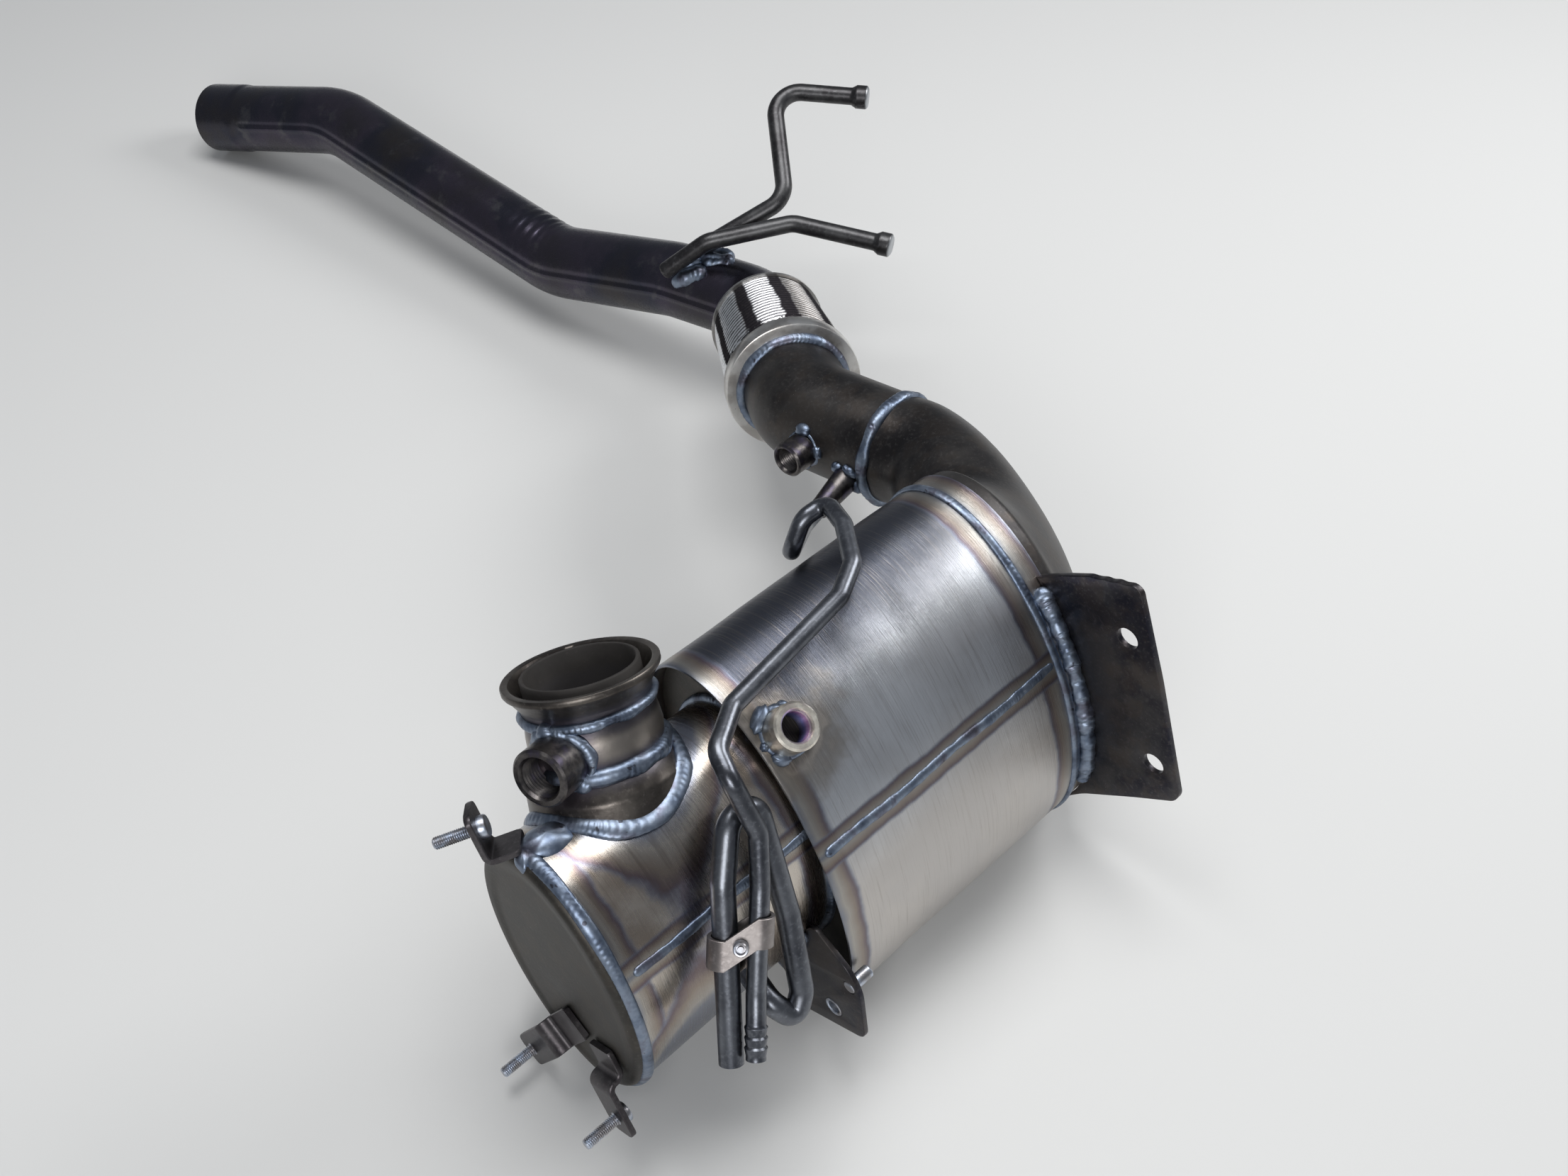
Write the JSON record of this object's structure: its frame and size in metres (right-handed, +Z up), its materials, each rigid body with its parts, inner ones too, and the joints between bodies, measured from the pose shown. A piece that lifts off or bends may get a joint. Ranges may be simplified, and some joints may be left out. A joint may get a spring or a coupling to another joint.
{
  "type": "diesel particulate filter",
  "caption": "Oval stainless diesel particulate filter with catalyst can, inlet neck, outlet hood, flexible coupling and downpipe",
  "frame": {"origin": "Centre of the inlet neck's rim face", "axes": "X along the can from catalyst to filter, Y level and away towards the tail of the downpipe, Z up from the floor that the part lies on"},
  "size_m": [0.5055, 0.8685, 0.1977],
  "materials": {
    "can_steel": "brushed stainless sheet with straw and brown heat tints",
    "cap_steel": "dark heat-browned pressed sheet",
    "sooty_steel": "grey-brown sooted and heat-darkened sheet",
    "weld_bead": "rippled steel-blue weld bead",
    "boss_steel": "turned steel with tinted edges",
    "flex_steel": "satin clamp rings",
    "braid_wire": "braided wire with dark gaps",
    "downpipe_steel": "almost black pipe with a purple-blue sheen",
    "rod_steel": "dull dark rod",
    "bracket_steel": "blue-black heat-darkened plate",
    "tube_steel": "dark grey-blue bent tube",
    "tab_steel": "brown-purple heat-tinted strip",
    "stud_zinc": "pale blue zinc plating",
    "core_ceramic": "matt honeycomb ceramic",
    "mat_fibre": "pale pressed fibre"
  },
  "bodies": {
    "root": {"dpf_shell": "can_steel", "dpf_seam_weld": "weld_bead", "dpf_front_plate": "cap_steel", "dpf_mat": "mat_fibre", "dpf_core": "core_ceramic", "dpf_rear_weld": "weld_bead", "dpf_temp_boss": "boss_steel", "dpf_temp_weld": "weld_bead", "doc_shell": "can_steel", "doc_seam_weld": "weld_bead", "doc_rear_weld": "weld_bead", "doc_end_cap": "cap_steel", "doc_cap_weld": "weld_bead", "doc_mat": "mat_fibre", "doc_core": "core_ceramic", "inlet_rim": "sooty_steel", "inlet_liner": "sooty_steel", "neck_tube": "sooty_steel", "neck_collar": "sooty_steel", "neck_weld_upper": "weld_bead", "neck_weld_middle": "weld_bead", "neck_weld_lower": "weld_bead", "lambda_boss": "boss_steel", "lambda_weld": "weld_bead", "outlet_hood": "sooty_steel", "outlet_joint_weld": "weld_bead", "outlet_pipe": "sooty_steel", "outlet_temp_boss": "boss_steel", "outlet_temp_weld": "weld_bead", "pressure_boss": "boss_steel", "flex_ring_front": "flex_steel", "flex_weld": "weld_bead", "flex_braid": "braid_wire", "flex_bellows": "flex_steel", "flex_ring_rear": "flex_steel", "downpipe": "downpipe_steel", "hanger_rod_upper": "rod_steel", "hanger_rod_lower": "rod_steel", "hanger_welds": "weld_bead", "mounting_plate": "bracket_steel", "mounting_plate_weld": "weld_bead", "lower_bracket": "bracket_steel", "lower_bracket_nut": "stud_zinc", "lower_bracket_weld": "weld_bead", "lower_bracket_pin": "stud_zinc", "rear_pressure_tube": "tube_steel", "front_pressure_tube": "tube_steel", "tube_clip": "tube_steel", "clip_screw": "stud_zinc", "upper_stud_tab": "tab_steel", "left_stud_tab": "tab_steel", "right_stud_tab": "tab_steel", "upper_stud": "stud_zinc", "left_stud": "stud_zinc", "right_stud": "stud_zinc"}
  },
  "joints": []
}
